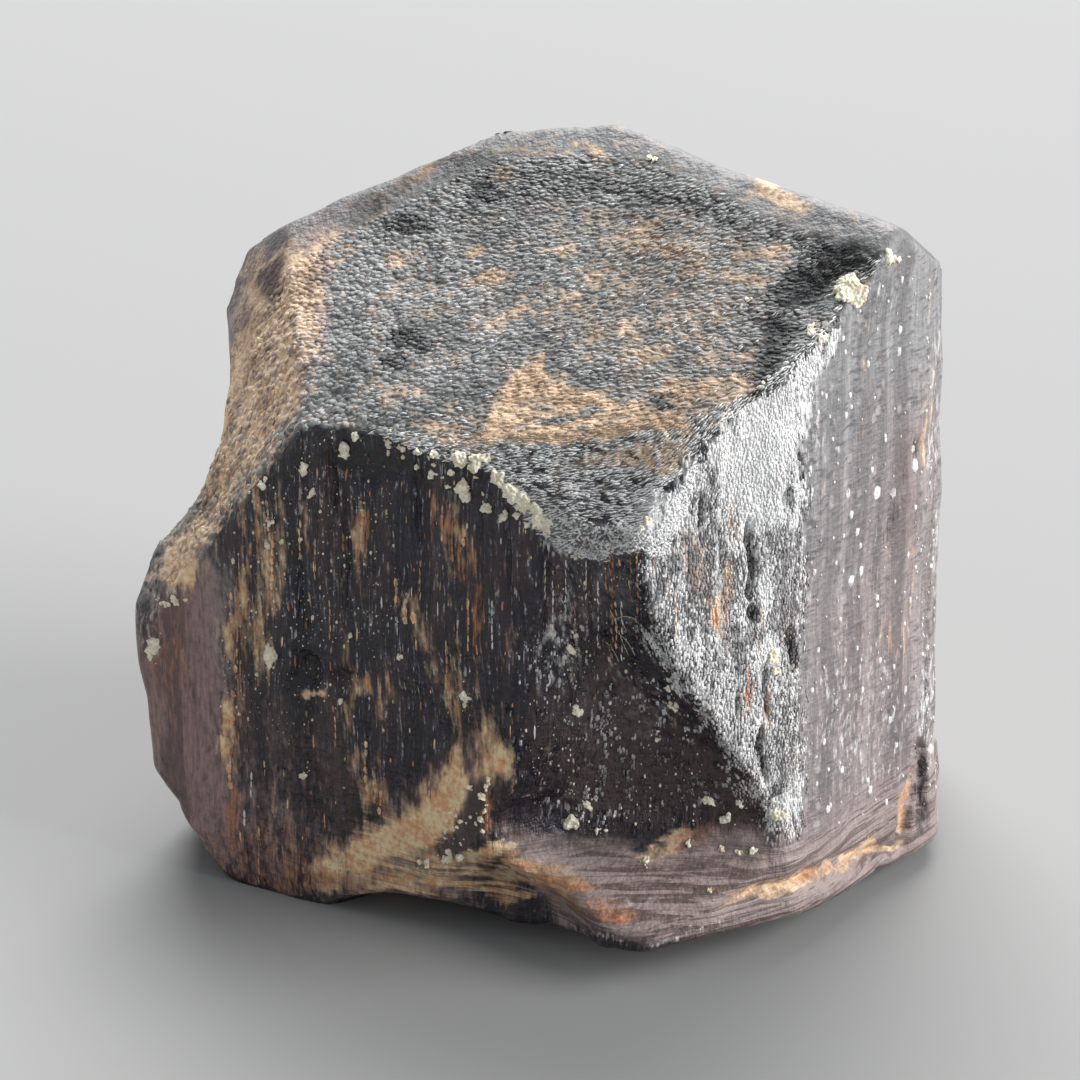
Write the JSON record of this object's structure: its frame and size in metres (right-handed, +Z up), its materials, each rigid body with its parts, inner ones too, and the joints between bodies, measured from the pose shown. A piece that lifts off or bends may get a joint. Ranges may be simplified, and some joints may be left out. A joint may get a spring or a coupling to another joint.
{
  "type": "dravite tourmaline crystal",
  "caption": "Short thick tourmaline crystal with striated prism faces, a pebbly sloping top, a shell-shaped break at the front corner and a broken flat base.",
  "frame": {"origin": "middle of the bounding box, on the plane of the flat broken base", "axes": "+Z up along the crystal's long axis, -Y towards the front corner between the two front prism faces, +X to the right"},
  "size_m": [0.0348, 0.0318, 0.0309],
  "materials": {
    "crystal": "satin to glassy black-brown, nearly opaque, with tan stains and a frosted grey film",
    "crust": "matt pale yellow mineral crumbs and grains"
  },
  "bodies": {
    "root": {"dravite_crystal": "crystal"}
  },
  "joints": []
}
